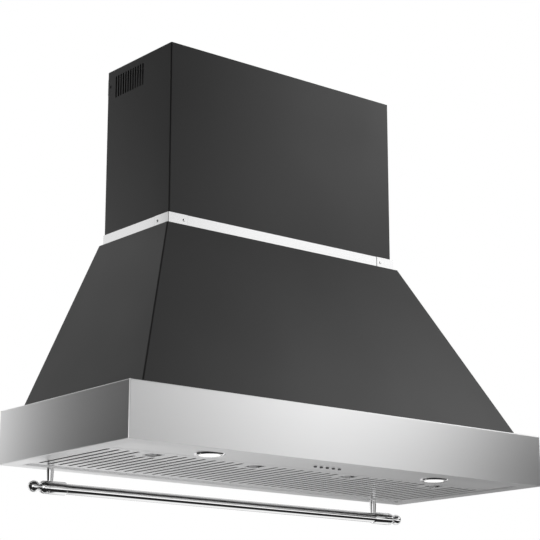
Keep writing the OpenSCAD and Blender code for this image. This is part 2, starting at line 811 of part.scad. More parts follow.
module back_plate() placed() color(galvanised) {
    inset = canopy_t + hole_gap;
    difference() {
        translate([0, 0, base_h]) rotate([90, 0, 0]) linear_extrude(back_t) polygon([
            [-foot_w / 2 + inset, 0], [foot_w / 2 - inset, 0],
            [canopy_top_w / 2 - inset, canopy_h], [-canopy_top_w / 2 + inset, canopy_h]
        ]);
        // The canopy's folded top stands beside the plate
        both_sides() box_between([band_half_w, -back_t - over, canopy_top_z - canopy_t],
            [foot_w / 2, over, canopy_top_z + over]);
        both_sides() box_between(
            [hook_x - hook_w / 2 - window_gap, -back_t - over, hook_top_z - hook_plate_h - window_gap],
            [hook_x + hook_w / 2 + window_gap, over, hook_top_z]);
        // The canopy's foot return runs to the wall on both sides
        both_sides() box_between([foot_w / 2 - foot_return_w, -back_t - over, base_h - over],
            [foot_w / 2, over, base_h + canopy_t]);
    }
    // Returns that lie on the base's roof on both sides of the motor box
    both_sides() box_between([motor_box_w / 2 + motor_box_flange + run_gap, -back_return_d, base_roof_z],
        [hood_w / 2 - top_lip_w, 0, base_h]);
}

// Two hooks that are screwed to the wall and carry the back plate's windows
module wall_hooks() placed() color(galvanised) both_sides() translate([hook_x, 0, 0]) difference() {
    ledge_z = hook_top_z - hook_t;
    union() {
        box_between([-hook_w / 2, -hook_t, hook_top_z - hook_plate_h], [hook_w / 2, 0, hook_top_z]);
        box_between([-hook_w / 2, -hook_reach, ledge_z], [hook_w / 2, 0, hook_top_z]);
        box_between([-hook_w / 2, -hook_reach, ledge_z],
            [hook_w / 2, -hook_reach + hook_t, hook_top_z + hook_lip_h]);
    }
    for (z = [hang_z - hook_hole_spacing / 2, hang_z + hook_hole_spacing / 2])
        translate([0, 0, z]) hole_through(hook_hole_r, hook_t);
}

// Trim band

module band_front() placed() color(chrome) difference() {
    box_between([-band_half_w, -band_front_y, band_low_z], [band_half_w, -band_front_y + band_t, band_top_z]);
    band_screw_places() band_screw_cut();
}

module band_side() difference() {
    box_between([band_half_w - band_t, -band_front_y + band_t, band_low_z],
        [band_half_w, -back_t - run_gap, band_top_z]);
    band_screw_places() band_screw_cut();
}
module band_right() placed() color(chrome) band_side();
module band_left() placed() color(chrome) mirror([1, 0, 0]) band_side();

// Corner pieces lie over the strips and stand on the canopy's ledge
module band_corners() placed() color(chrome) both_sides() difference() {
    union() {
        box_between([band_half_w + corner_t - corner_leg, -band_front_y - corner_t, canopy_top_z],
            [band_half_w + corner_t, -band_front_y, band_top_z]);
        box_between([band_half_w, -band_front_y - corner_t, canopy_top_z],
            [band_half_w + corner_t, -band_front_y - corner_t + corner_leg, band_top_z]);
    }
    band_screw_places() band_screw_cut();
}

// Places of the four band screws, with their shanks pointing along +Y before turning
module band_screw_places() {
    screw_z = canopy_top_z + band_h / 2;
    both_sides() {
        translate([band_half_w - band_screw_from_corner, -band_front_y - corner_t, screw_z]) children();
        translate([band_half_w + corner_t, -band_front_y + band_screw_from_corner, screw_z])
            rotate([0, 0, 90]) children();
    }
}

module band_screw_cut() {
    mirror([0, 1, 0]) hole_through(band_screw_r + hole_gap / 2, band_t + corner_t);
}

module band_screws() placed() color(chrome) band_screw_places() {
    rotate([-90, 0, 0]) cylinder(r = band_screw_r, h = band_t + corner_t);
    rotate([90, 0, 0]) cylinder(r = band_screw_head_r, h = band_screw_head_h / 2);
    translate([0, -band_screw_head_h / 2, 0]) rotate([90, 0, 0])
        cylinder(r = band_screw_head_r * head_crown_share, h = band_screw_head_h / 2);
}

// Chimney

module chimney() placed() color(black_paint) difference() {
    translate([0, 0, chimney_bottom_z]) u_wall(chimney_w, chimney_d, bend_r, chimney_t, chimney_len);
    box_between([-chimney_w / 2 - over, -chimney_wall_gap, chimney_bottom_z - over],
        [chimney_w / 2 + over, over, chimney_top_z + over]);
    both_sides() {
        for (i = [0:vent_count - 1]) translate([chimney_w / 2, -vent_first_y - i * vent_pitch, 0])
            box_between([-chimney_t - over, -vent_w / 2, vent_top_z - vent_h],
                [over, vent_w / 2, vent_top_z]);
        chimney_screw_place() translate([0, 0, -over])
            cylinder(r = chimney_screw_r + hole_gap / 2, h = chimney_t + 2 * over);
    }
}

// Cowls behind the vents, open below, which keep dust and the view out of the chimney
module vent_cowls() placed() color(black_paint) both_sides() translate([chimney_w / 2 - chimney_t, 0, 0]) {
    rear_y = vent_first_y - vent_w / 2 - cowl_margin;
    front_y = vent_last_y + vent_w / 2 + cowl_margin;
    low_z = vent_top_z - vent_h - cowl_margin;
    high_z = vent_top_z + cowl_margin;
    difference() {
        box_between([-cowl_d, -front_y, low_z], [0, -rear_y, high_z]);
        box_between([-cowl_d + cowl_t, -front_y + cowl_t, low_z - over],
            [over, -rear_y - cowl_t, high_z - cowl_t]);
    }
}

// Place of the right side screw, with Z pointing into the chimney
module chimney_screw_place() {
    translate([chimney_w / 2, -chimney_screw_y, chimney_screw_z]) rotate([0, -90, 0]) children();
}

module chimney_bracket() placed() color(galvanised) {
    bracket_x = chimney_w / 2 - chimney_t;
    low_z = chimney_screw_z - bracket_h / 2;
    high_z = chimney_screw_z + bracket_h / 2;
    difference() {
        union() {
            box_between([-bracket_x, -bracket_t, low_z], [bracket_x, 0, high_z]);
            both_sides() box_between([bracket_x - bracket_t, -bracket_tab_d, low_z], [bracket_x, 0, high_z]);
        }
        both_sides() {
            translate([bracket_hole_spacing / 2, 0, chimney_screw_z]) hole_through(bracket_hole_r, bracket_t);
            chimney_screw_place()
                cylinder(r = chimney_screw_r + hole_gap / 2, h = chimney_t + bracket_t + over);
        }
    }
}

module chimney_screws() placed() color(black_paint) both_sides() chimney_screw_place() {
    cylinder(r = chimney_screw_r, h = chimney_t + bracket_t);
    translate([0, 0, -chimney_screw_head_h]) cylinder(r = chimney_screw_head_r, h = chimney_screw_head_h);
}

// Rail

// The tube, sleeves and finials sit a little to the right of the posts' middle
module on_rail_axis() {
    translate([rail_shift_x, -rail_y, -rail_drop]) children();
}

module rail_tube() placed() color(chrome) on_rail_axis() difference() {
    bar_x(rail_dia / 2, -tube_end_x, tube_end_x);
    bar_x(rail_dia / 2 - rail_tube_t, -tube_end_x - over, tube_end_x + over);
}

// End sleeves, each closed by a tapered shoulder
module rail_sleeves() placed() color(chrome) on_rail_axis() both_sides() {
    difference() {
        bar_x(sleeve_dia / 2, sleeve_inner_x, tube_end_x);
        bar_x(rail_dia / 2, sleeve_inner_x - over, tube_end_x + over);
    }
    translate([tube_end_x, 0, 0]) rotate([0, 90, 0])
        cylinder(r1 = sleeve_dia / 2, r2 = sleeve_end_dia / 2, h = sleeve_taper_len);
}

module rail_finials() placed() color(chrome) on_rail_axis() both_sides() translate([sleeve_outer_x, 0, 0]) {
    bar_x(neck_dia / 2, 0, ball_from_sleeve);
    bar_x(neck_ring_dia / 2, 0, neck_ring_t);
    translate([ball_from_sleeve, 0, 0]) sphere(ball_dia / 2);
}

module rail_posts() placed() color(chrome) for (side = [-1, 1]) difference() {
    translate([side * post_x, -rail_y, 0]) {
        drum(stud_r, 0, panel_top_z + post_nut_h);
        drum(post_flange_r, -post_flange_t, 0);
        translate([0, 0, -rail_drop])
            cylinder(r1 = post_bottom_r, r2 = post_top_r, h = rail_drop - post_flange_t);
    }
    on_rail_axis() {
        bar_x(rail_dia / 2, -tube_end_x, tube_end_x);
        both_sides() bar_x(sleeve_dia / 2, sleeve_inner_x, tube_end_x);
    }
}

module post_nuts() placed() color(galvanised) both_sides() translate([post_x, -rail_y, 0]) difference() {
    translate([0, 0, panel_top_z]) cylinder(r = post_nut_r, h = post_nut_h, $fn = nut_sides);
    drum(stud_r, panel_top_z - over, panel_top_z + post_nut_h + over);
}

// Motor box and blower

module motor_box() placed() color(galvanised) difference() {
    roof_low_z = motor_box_top_z - motor_box_t;
    union() {
        box_between([-motor_box_w / 2, -motor_box_front_y, motor_box_z],
            [motor_box_w / 2, -motor_box_rear_y, motor_box_top_z]);
        box_between([-motor_box_w / 2 - motor_box_flange, -motor_box_front_y, motor_box_z],
            [motor_box_w / 2 + motor_box_flange, -motor_box_rear_y, motor_box_z + motor_box_t]);
    }
    box_between([-motor_box_w / 2 + motor_box_t, -motor_box_front_y + motor_box_t, motor_box_z - over],
        [motor_box_w / 2 - motor_box_t, -motor_box_rear_y - motor_box_t, roof_low_z]);
    translate([0, -collar_y, 0]) drum(outlet_hole_r, roof_low_z - over, motor_box_top_z + over);
    motor_screw_places() drum(screw_r + hole_gap, motor_box_z - over, motor_box_z + motor_box_t + over);
}

// Inside radius of the scroll at an angle from its tongue, over the rear and the floor, to the front
function scroll_radius(angle) = scroll_r_min + scroll_growth * angle / scroll_end_deg;
function scroll_point(angle, grow) = [
    (scroll_radius(angle) + grow) * sin(angle),
    (scroll_radius(angle) + grow) * cos(angle)
];

// Side view of the scroll, with the wheel's centre at 0, the rear at +X and up at +Y
module scroll_outline(grow, top) {
    polygon(concat(
        [for (angle = [scroll_start_deg:scroll_step_deg:scroll_end_deg]) scroll_point(angle, grow)],
        [[-scroll_r_max - grow, top], [scroll_point(scroll_start_deg, grow)[0], top]]
    ));
}

module blower_housing() placed() color(grey_plastic) translate([0, -wheel_y, wheel_z]) {
    top = motor_box_top_z - motor_box_t - wheel_z;
    difference() {
        translate([-scroll_w / 2 - scroll_t, 0, 0]) rotate([90, 0, 90])
            linear_extrude(scroll_w + 2 * scroll_t) scroll_outline(scroll_t, top);
        translate([-scroll_w / 2, 0, 0]) rotate([90, 0, 90])
            linear_extrude(scroll_w) scroll_outline(0, top + over);
        bar_x(inlet_r, -scroll_w, scroll_w);
    }
}

module impeller() placed() color(galvanised) translate([0, -wheel_y, wheel_z]) difference() {
    union() {
        for (i = [0:blade_count - 1]) rotate([i * 360 / blade_count, 0, 0])
            translate([-blade_len / 2, impeller_dia / 2 - blade_depth, 0]) rotate([blade_lean_deg, 0, 0])
                cube([blade_len, blade_depth, blade_t]);
        bar_x(impeller_dia / 2, -wheel_disc_t / 2, wheel_disc_t / 2);
        both_sides() difference() {
            bar_x(impeller_dia / 2, impeller_w / 2 - wheel_ring_w, impeller_w / 2);
            bar_x(wheel_ring_in_r, impeller_w / 2 - wheel_ring_w - over, impeller_w / 2 + over);
        }
        bar_x(hub_r, -wheel_disc_t / 2, hub_len);
    }
    bar_x(shaft_r, -wheel_disc_t, hub_len + over);
}

module motor_shaft() placed() color(chrome) translate([0, -wheel_y, wheel_z])
    bar_x(shaft_r, motor_face_x - shaft_bore_len + shaft_end_gap, hub_len + shaft_beyond_hub);

module motor_casing() placed() color(dark_plastic) translate([0, -wheel_y, wheel_z]) difference() {
    union() {
        bar_x(motor_r, motor_face_x - motor_len, motor_face_x);
        bar_x(motor_boss_r, -scroll_w / 2 - scroll_t - spider_t, motor_face_x);
    }
    bar_x(shaft_r + shaft_gap, motor_face_x - shaft_bore_len, motor_face_x + over);
}

// Spider that carries the motor in the left inlet
module motor_bracket() placed() color(galvanised)
    translate([-scroll_w / 2 - scroll_t - spider_t, -wheel_y, wheel_z]) rotate([90, 0, 90])
        linear_extrude(spider_t) difference() {
            union() {
                circle(r = spider_ring_r);
                for (i = [0:spider_arms - 1]) rotate(i * 360 / spider_arms)
                    translate([-spider_arm_w / 2, 0]) square([spider_arm_w, inlet_r + spider_reach]);
            }
            circle(r = motor_boss_r);
        }

// Duct collar and damper

module outlet_collar() placed() color(galvanised) translate([0, -collar_y, 0]) {
    flange = duct_dia / 2 + collar_flange_w;
    difference() {
        union() {
            box_between([-flange, -flange, motor_box_top_z], [flange, flange, collar_z]);
            drum(duct_dia / 2, motor_box_top_z, collar_z + collar_h);
        }
        drum(duct_dia / 2 - collar_t, stop_ring_z + stop_ring_t, collar_z + collar_h + over);
        drum(duct_dia / 2 - collar_t - stop_ring_w, motor_box_top_z - over, collar_z + collar_h);
        drum(duct_dia / 2 - collar_t, collar_z, stop_ring_z);
        translate([0, 0, flap_pin_z]) bar_x(flap_pin_r + shaft_gap, -duct_dia, duct_dia);
    }
}

module damper_pin() placed() color(chrome) translate([0, -collar_y, flap_pin_z])
    bar_x(flap_pin_r, -duct_dia / 2, duct_dia / 2);

// Half disc behind the pin, with its two hinge barrels. start is the first barrel's place in barrel lengths
module damper_flap(start) {
    edge = flap_barrel_r + run_gap;
    difference() {
        union() {
            intersection() {
                drum(flap_r, flap_z, flap_z + flap_t);
                box_between([-flap_r, edge, flap_z], [flap_r, flap_r, flap_z + flap_t]);
            }
            for (place = [start, start + 2]) translate([place * flap_barrel_len + run_gap / 2, 0, 0]) {
                translate([0, 0, flap_pin_z]) bar_x(flap_barrel_r, 0, flap_barrel_len - run_gap);
                box_between([0, 0, flap_z], [flap_barrel_len - run_gap, edge + over, flap_z + flap_t]);
            }
        }
        translate([0, 0, flap_pin_z]) bar_x(flap_pin_r + shaft_gap, -flap_r, flap_r);
    }
}

module rear_damper_flap() placed() color(dark_plastic) translate([0, -collar_y, 0]) damper_flap(-2);
module front_damper_flap() placed() color(dark_plastic) translate([0, -collar_y, 0])
    mirror([0, 1, 0]) damper_flap(-1);

// Electrical boxes on the base's roof

module terminal_box() placed() color(dark_plastic) translate([terminal_box_x, -terminal_box_y, base_roof_z]) {
    cube([terminal_box_w, terminal_box_d, terminal_box_h]);
    translate([-terminal_lid_t, -terminal_lid_t, terminal_box_h])
        cube([terminal_box_w + 2 * terminal_lid_t, terminal_box_d + 2 * terminal_lid_t, terminal_lid_t]);
}

module lamp_driver() placed() color(grey_plastic) translate([driver_x, -driver_y, base_roof_z])
    cube([driver_w, driver_d, driver_h]);

// What is drawn

base_shell();
base_rear_panel();
base_top_panel();
underside_panel();
filter_rear_rail();
filter_front_rail();
latch_keepers();
for (n = [1:filter_count]) {
    filter_face(n);
    filter_frame(n);
    filter_latch(n);
}
light_bezels();
light_lenses();
lamp_bodies();
for (i = [0:button_count - 1])
    push_button(i);
control_housing();
control_board();
button_switches();
canopy_shell();
back_plate();
wall_hooks();
band_front();
band_left();
band_right();
band_corners();
band_screws();
chimney();
vent_cowls();
chimney_bracket();
chimney_screws();
rail_tube();
rail_posts();
rail_sleeves();
rail_finials();
post_nuts();
motor_box();
blower_housing();
impeller();
motor_shaft();
motor_casing();
motor_bracket();
outlet_collar();
damper_pin();
front_damper_flap();
rear_damper_flap();
terminal_box();
lamp_driver();
body_screws();
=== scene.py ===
import json
import math

import bmesh
import bpy
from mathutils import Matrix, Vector


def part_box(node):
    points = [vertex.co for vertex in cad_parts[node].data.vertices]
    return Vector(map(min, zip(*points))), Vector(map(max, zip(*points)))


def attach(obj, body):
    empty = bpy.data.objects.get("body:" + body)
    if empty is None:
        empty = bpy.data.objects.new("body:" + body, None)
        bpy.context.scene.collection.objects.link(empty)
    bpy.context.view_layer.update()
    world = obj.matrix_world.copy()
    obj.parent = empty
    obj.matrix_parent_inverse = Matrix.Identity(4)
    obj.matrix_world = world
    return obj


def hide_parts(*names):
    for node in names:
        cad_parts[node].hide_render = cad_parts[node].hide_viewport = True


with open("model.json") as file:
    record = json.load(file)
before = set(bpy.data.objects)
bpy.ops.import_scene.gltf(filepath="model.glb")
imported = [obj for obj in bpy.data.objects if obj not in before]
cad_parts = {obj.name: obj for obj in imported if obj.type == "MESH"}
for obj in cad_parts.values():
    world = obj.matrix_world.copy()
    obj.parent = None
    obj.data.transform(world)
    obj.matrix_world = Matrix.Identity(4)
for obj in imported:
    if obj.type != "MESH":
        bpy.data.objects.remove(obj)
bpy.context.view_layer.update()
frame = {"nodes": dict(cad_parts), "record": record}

MM = 0.001
HANG_H = 385.0  # height of the part's origin above the base's bottom edge
scene = bpy.context.scene
nodes = frame["nodes"]
body_of_node = {n: b for b, members in frame["record"]["behaviour"]["bodies"].items() for n in members}
slot_of_node = {part["node"]: part["material_slot"] for part in frame["record"]["subparts"]}


def at(x, y, h):
    """Point in metres from millimetres, with h measured up from the base's bottom edge."""
    return Vector((x, y, h - HANG_H)) * MM


# Camera, fitted to the corners of the hood in the photograph

CAMERA_AT = at(-2496.54, -3275.42, -520.11)
CAMERA_PITCH = math.radians(14.4275)
CAMERA_YAW = math.radians(39.1086)
LENS_MM = 114.071
SENSOR_MM = 36
SIGHT_END = 100
camera_data = bpy.data.cameras.new("camera")
camera_data.lens = LENS_MM
camera_data.sensor_width = SENSOR_MM
camera_data.clip_end = SIGHT_END
camera = bpy.data.objects.new("camera", camera_data)
camera.location = CAMERA_AT
camera.rotation_euler = (math.pi / 2 + CAMERA_PITCH, 0, -CAMERA_YAW)
scene.collection.objects.link(camera)
scene.camera = camera
scene.view_settings.view_transform = "Standard"


# Materials

MOST_NOISE = (0.3, 0.7)  # most values of a noise lie in this range
LEVEL_FACE = 0.7  # a face is level where its normal's Z is larger than this


class Nodes:
    """Short calls for the nodes of one tree."""

    def __init__(self, tree, place):
        self.tree = tree
        self.place = tree.nodes.new("ShaderNodeTexCoord").outputs[place]

    def add(self, kind, inputs=None, **props):
        node = self.tree.nodes.new(kind)
        for key, value in props.items():
            setattr(node, key, value)
        for key, value in (inputs or {}).items():
            self.feed(node.inputs[key], value)
        return node

    def feed(self, socket, value):
        if isinstance(value, bpy.types.NodeSocket):
            self.tree.links.new(value, socket)
        else:
            socket.default_value = value

    def axes(self):
        return self.add("ShaderNodeSeparateXYZ", {"Vector": self.place}).outputs

    def scaled(self, scale):
        return self.add("ShaderNodeMapping", {"Vector": self.place, "Scale": scale}).outputs["Vector"]

    def noise(self, scale, detail=3.0, stretch=(1, 1, 1), rough=0.5):
        inputs = {"Vector": self.scaled(stretch), "Scale": scale, "Detail": detail, "Roughness": rough}
        return self.add("ShaderNodeTexNoise", inputs).outputs["Fac"]

    def cells(self, scale):
        return self.add("ShaderNodeTexVoronoi", {"Vector": self.place, "Scale": scale}).outputs

    def red_of(self, colour):
        return self.add("ShaderNodeSeparateColor", {"Color": colour}).outputs["Red"]

    def math(self, kind, a, b=0.0):
        return self.add("ShaderNodeMath", {0: a, 1: b}, operation=kind).outputs[0]

    def product(self, first, *others):
        for other in others:
            first = self.math("MULTIPLY", first, other)
        return first

    def ramp(self, value, low, high, from_low=0.0, from_high=1.0):
        inputs = {"Value": value, "From Min": from_low, "From Max": from_high, "To Min": low, "To Max": high}
        return self.add("ShaderNodeMapRange", inputs).outputs["Result"]

    def mix(self, factor, a, b, kind="RGBA"):
        inputs = {"Factor": factor, "A": a, "B": b}
        return self.add("ShaderNodeMix", inputs, data_type=kind).outputs["Result"]


class Surface(Nodes):
    """The nodes of a new material, with short calls for its shader."""

    def __init__(self, name):
        self.material = bpy.data.materials.new(name)
        self.material.use_nodes = True
        super().__init__(self.material.node_tree, "Object")
        self.shader = self.tree.nodes["Principled BSDF"]

    def set(self, **inputs):
        for key, value in inputs.items():
            self.feed(self.shader.inputs[key.replace("_", " ")], value)

    def bump(self, height, strength, distance):
        node = self.add("ShaderNodeBump", {"Height": height, "Strength": strength, "Distance": distance})
        self.feed(self.shader.inputs["Normal"], node.outputs["Normal"])


def grey(level, tint=(0.0, 0.0, 0.0)):
    return (level + tint[0], level + tint[1], level + tint[2], 1.0)


def streaks(m, slow, fast):
    """Brush marks: along X and Y on upright faces, and along X on level ones."""
    upright = m.noise(1.0, 4.0, (slow, slow, fast), 0.6)
    level = m.noise(1.0, 4.0, (slow, fast, slow), 0.6)
    normal = m.add("ShaderNodeNewGeometry").outputs["Normal"]
    up = m.math("ABSOLUTE", m.add("ShaderNodeSeparateXYZ", {"Vector": normal}).outputs["Z"])
    return m.mix(m.math("GREATER_THAN", up, LEVEL_FACE), upright, level, "FLOAT")


def metal(name, dark, light, rough_low, rough_high, slow, fast, anisotropy=0.0):
    """Metal whose grey level and roughness follow its brush marks, with slow and fast scales across it."""
    m = Surface(name)
    marks = streaks(m, slow, fast)
    smudge = m.noise(3.5, 4.0)
    rough = m.ramp(m.mix(0.4, marks, smudge, "FLOAT"), rough_low, rough_high, *MOST_NOISE)
    m.set(Metallic=1.0, Base_Color=m.mix(marks, grey(dark), grey(light, (0.0, 0.0, 0.004))))
    m.set(Roughness=rough, Anisotropic=anisotropy, Anisotropic_Rotation=0.25)
    return m.material


def galvanised(name):
    """Zinc coat with its crystals."""
    m = Surface(name)
    tone = m.red_of(m.cells(140.0)["Color"])
    fine = m.noise(60.0, 4.0)
    m.set(Metallic=1.0, Base_Color=m.mix(tone, grey(0.47), grey(0.66, (0, 0.005, 0.015))))
    m.set(Roughness=m.ramp(m.mix(0.5, tone, fine, "FLOAT"), 0.32, 0.52, 0.2, 0.8))
    m.bump(fine, 0.1, 0.0003)
    return m.material


def paint(name):
    """Black powder paint with a fine texture."""
    m = Surface(name)
    wide = m.noise(2.2, 3.0)
    fine = m.noise(900.0, 2.0)
    m.set(Base_Color=m.mix(wide, grey(0.0055), grey(0.0085)))
    m.set(Roughness=m.ramp(wide, 0.36, 0.44, 0.35, 0.65), IOR=1.5)
    m.bump(fine, 0.05, 0.0001)
    return m.material


def plastic(name, level):
    """Moulded plastic of one grey level, with a grained face."""
    m = Surface(name)
    grain = m.noise(1200.0, 3.0)
    wide = m.noise(12.0, 3.0)
    m.set(Base_Color=m.mix(wide, grey(level * 0.85), grey(level * 1.12)))
    m.set(Roughness=m.ramp(grain, 0.44, 0.56, *MOST_NOISE))
    m.bump(grain, 0.25, 0.0002)
    return m.material


def lens(name):
    """Prismatic lens that glows."""
    m = Surface(name)
    prisms = m.cells(420.0)["Distance"]
    glow = m.mix(prisms, (1.0, 0.99, 0.96, 1.0), (0.93, 0.93, 0.92, 1.0))
    m.set(Base_Color=grey(0.85), Roughness=m.ramp(prisms, 0.25, 0.45), IOR=1.49)
    m.set(Emission_Color=glow, Emission_Strength=0.9)
    m.bump(prisms, 0.2, 0.0003)
    return m.material


def board(name):
    """Green circuit board with paler tracks."""
    m = Surface(name)
    cells = m.add("ShaderNodeTexBrick", {
        "Vector": m.scaled((1, 1, 0)), "Scale": 90.0, "Mortar Size": 0.012,
        "Color1": (0.012, 0.09, 0.035, 1), "Color2": (0.01, 0.075, 0.03, 1), "Mortar": (0.05, 0.2, 0.09, 1)})
    m.set(Base_Color=cells.outputs["Color"], Roughness=m.ramp(m.noise(40.0), 0.3, 0.45))
    m.bump(cells.outputs["Fac"], 0.2, 0.0001)
    return m.material


MATERIALS = {
    "brushed_steel": metal("brushed_steel", 0.759, 0.771, 0.28, 0.29, 3.0, 1400.0, 0.5),
    "polished_steel": metal("polished_steel", 0.755, 0.77, 0.276, 0.282, 2.0, 500.0),
    "polished_trim": metal("polished_trim", 0.84, 0.88, 0.10, 0.16, 2.0, 600.0),
    "chrome": metal("chrome", 0.86, 0.90, 0.03, 0.07, 30.0, 60.0),
    # baffle_steel is darker than the other steels: painted shade for the unlit inside of the filters' slots
    "baffle_steel": metal("baffle_steel", 0.32, 0.38, 0.48, 0.58, 3.0, 300.0),
    "button_metal": metal("button_metal", 0.07, 0.10, 0.2, 0.3, 100.0, 300.0),
    "galvanised_steel": galvanised("galvanised_steel"),
    "black_paint": paint("black_paint"),
    "dark_plastic": plastic("dark_plastic", 0.02),
    "grey_plastic": plastic("grey_plastic", 0.25),
    "lamp_lens": lens("lamp_lens"),
    "circuit_board": board("circuit_board"),
}

for name, obj in nodes.items():
    obj.data.materials.clear()
    obj.data.materials.append(MATERIALS[slot_of_node[name]])


# Shapes

WELD = 2e-6
FLAT_ANGLE = math.radians(1)
SHARP_ANGLE = math.radians(25)
TURNED_SHARP_ANGLE = math.radians(35)
ROUNDING_STEPS = 3
CLOSE = 0.01 * MM
NEAR_WALL = 100 * MM
DOWN = (0, 0, -1)
# Shares of an axis in the direction of an edge
UPRIGHT_SHARE = 0.9
LEVEL_SHARE = 0.5
SLOPE_SHARE = 0.05


def new_piece(name, mesh, node):
    """A piece that stands for a CAD node, on the node's body and in its material."""
    piece = bpy.data.objects.new(name, mesh)
    scene.collection.objects.link(piece)
    mesh.materials.clear()
    mesh.materials.append(MATERIALS[slot_of_node[node]])
    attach(piece, body_of_node[node])
    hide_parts(node)
    return piece


def make_smooth(mesh):
    for polygon in mesh.polygons:
        polygon.use_smooth = True


def softened(node, fine, shortest=0.0, wide=None, is_wide=None):
    """Copy of a CAD node with its sharp edges rounded, which stands for the node.

    Edges longer than shortest are rounded by fine, and the outer ones that is_wide picks by wide."""
    mesh = nodes[node].data.copy()
    shape = bmesh.new()
    shape.from_mesh(mesh)
    bmesh.ops.remove_doubles(shape, verts=shape.verts, dist=WELD)
    bmesh.ops.dissolve_limit(shape, angle_limit=FLAT_ANGLE, verts=shape.verts, edges=shape.edges)
    weight = shape.edges.layers.float.new("bevel_weight_edge")
    wide = wide or fine
    for edge in shape.edges:
        sharp = len(edge.link_faces) == 2 and edge.calc_face_angle() > SHARP_ANGLE
        rounded = sharp and edge.calc_length() > shortest * MM
        edge.smooth = rounded or not sharp
        if rounded:
            edge[weight] = 1.0 if is_wide and edge.is_convex and is_wide(edge) else fine / wide
    shape.to_mesh(mesh)
    shape.free()
    make_smooth(mesh)
    piece = new_piece(node + "_skin", mesh, node)
    rounding = piece.modifiers.new("rounding", "BEVEL")
    rounding.width = wide * MM
    rounding.segments = ROUNDING_STEPS
    rounding.limit_method = "WEIGHT"
    rounding.use_clamp_overlap = False
    shading = piece.modifiers.new("shading", "WEIGHTED_NORMAL")
    shading.keep_sharp = True
    shading.weight = 100


def direction(edge):
    return (edge.verts[1].co - edge.verts[0].co).normalized()


def is_upright_front(edge):
    """An upright edge, or nearly so, away from the wall."""
    return abs(direction(edge).z) > UPRIGHT_SHARE and edge.verts[0].co.y < -NEAR_WALL


def is_hip(edge):
    """An edge that slopes along all three axes."""
    return min(abs(part) for part in direction(edge)) > SLOPE_SHARE


def is_base_rim(edge):
    """An outer top or bottom edge of the base's front and sides."""
    low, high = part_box("base_shell")
    if abs(direction(edge).z) > LEVEL_SHARE:
        return False
    for vert in edge.verts:
        at_side = min(vert.co.x - low[0], high[0] - vert.co.x) < CLOSE
        if not at_side and vert.co.y - low[1] > CLOSE:
            return False
    return edge.verts[0].co.y < -MM or edge.verts[1].co.y < -MM


def turned(node, places, profile, segments=64):
    """A shape turned about an axis at each (origin, axis) place, which stands for a CAD node.

    The profile has (along, radius) pairs in millimetres. It runs from pole to pole, or is a closed loop that
    ends at its first point."""
    shape = bmesh.new()
    for origin, axis in places:
        axis = Vector(axis)
        side = axis.orthogonal().normalized()
        other = axis.cross(side)
        rings = []
        for step, (along, radius) in enumerate(profile):
            centre = Vector(origin) + axis * along * MM
            if step and (along, radius) == profile[0]:
                rings.append(rings[0])
                continue
            if radius == 0:
                rings.append([shape.verts.new(centre)])
                continue
            ring = []
            for i in range(segments):
                angle = 2 * math.pi * i / segments
                spoke = side * math.cos(angle) + other * math.sin(angle)
                ring.append(shape.verts.new(centre + spoke * radius * MM))
            rings.append(ring)
        for a, b in zip(rings, rings[1:]):
            for i in range(segments):
                j = (i + 1) % segments
                corners = [a[i % len(a)], a[j % len(a)], b[j % len(b)], b[i % len(b)]]
                shape.faces.new(list(dict.fromkeys(corners)))
    bmesh.ops.recalc_face_normals(shape, faces=shape.faces)
    mesh = bpy.data.meshes.new(node + "_turned")
    shape.to_mesh(mesh)
    shape.free()
    make_smooth(mesh)
    mesh.set_sharp_from_angle(angle=TURNED_SHARP_ANGLE)
    new_piece(node + "_turned", mesh, node)


def middle(low, high):
    return (low + high) / 2


def depth_below(h, z):
    """How far z, in metres, lies below the height h over the base's bottom edge, in millimetres."""
    return h - HANG_H - z / MM


def hung_pair(low, high, radius, h):
    """Places at height h of two round pieces that fill the left and the right end of a box."""
    y = middle(low[1], high[1])
    return [((x, y, (h - HANG_H) * MM), DOWN) for x in (low[0] + radius * MM, high[0] - radius * MM)]


softened("base_shell", 0.2, 20, 2.4, is_base_rim)
softened("canopy_shell", 0.4, 20, 3.0, is_hip)
softened("chimney", 0.4, 60, 3.0, is_upright_front)
for name in ("band_front", "band_left", "band_right"):
    softened(name, 0.3)
softened("band_corners", 0.25, 0, 0.9, is_upright_front)
for n in (1, 2, 3, 4):
    softened("filter_%d_latch" % n, 0.4, 5)

# Rail: sleeves with rings at their outer ends, balls on ringed necks and posts under flanges

low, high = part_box("rail_sleeves")
rail_y, rail_z = middle(low[1], high[1]), middle(low[2], high[2])
ends = [((low[0], rail_y, rail_z), (-1, 0, 0)), ((high[0], rail_y, rail_z), (1, 0, 0))]
turned("rail_sleeves", ends, [
    (-9.2, 0), (-9.2, 12.01), (-65, 12.01), (-65, 13.2), (-63.6, 14.8), (-63.0, 15),
    (-19, 15), (-18.6, 14.0), (-17.4, 14.0), (-17, 15),
    (-15, 15), (-14.6, 14.0), (-13.6, 14.0), (-13.2, 15),
    (-11.2, 15), (-10.8, 13.6), (-9.8, 13.6), (-9.4, 14.6),
    (-8, 14.5), (-6, 13.9), (-4, 12.9), (-2.2, 11.6), (-0.8, 10.2), (0, 9.3), (0, 0)])

BALL_AT = 16
BALL_R = 13
BALL_FROM, BALL_TO = -69, 90  # angles from the neck to the pole
BALL_STEPS = 22
neck = [(0.01, 0), (0.01, 6.4), (0.5, 7.0), (1.5, 7.0), (2.0, 6.4), (2.0, 4.6), (3.2, 4.4)]
ball = []
for i in range(BALL_STEPS):
    angle = math.radians(BALL_FROM + (BALL_TO - BALL_FROM) * i / BALL_STEPS)
    ball.append((BALL_AT + BALL_R * math.sin(angle), BALL_R * math.cos(angle)))
turned("rail_finials", ends, neck + ball + [(BALL_AT + BALL_R, 0)])

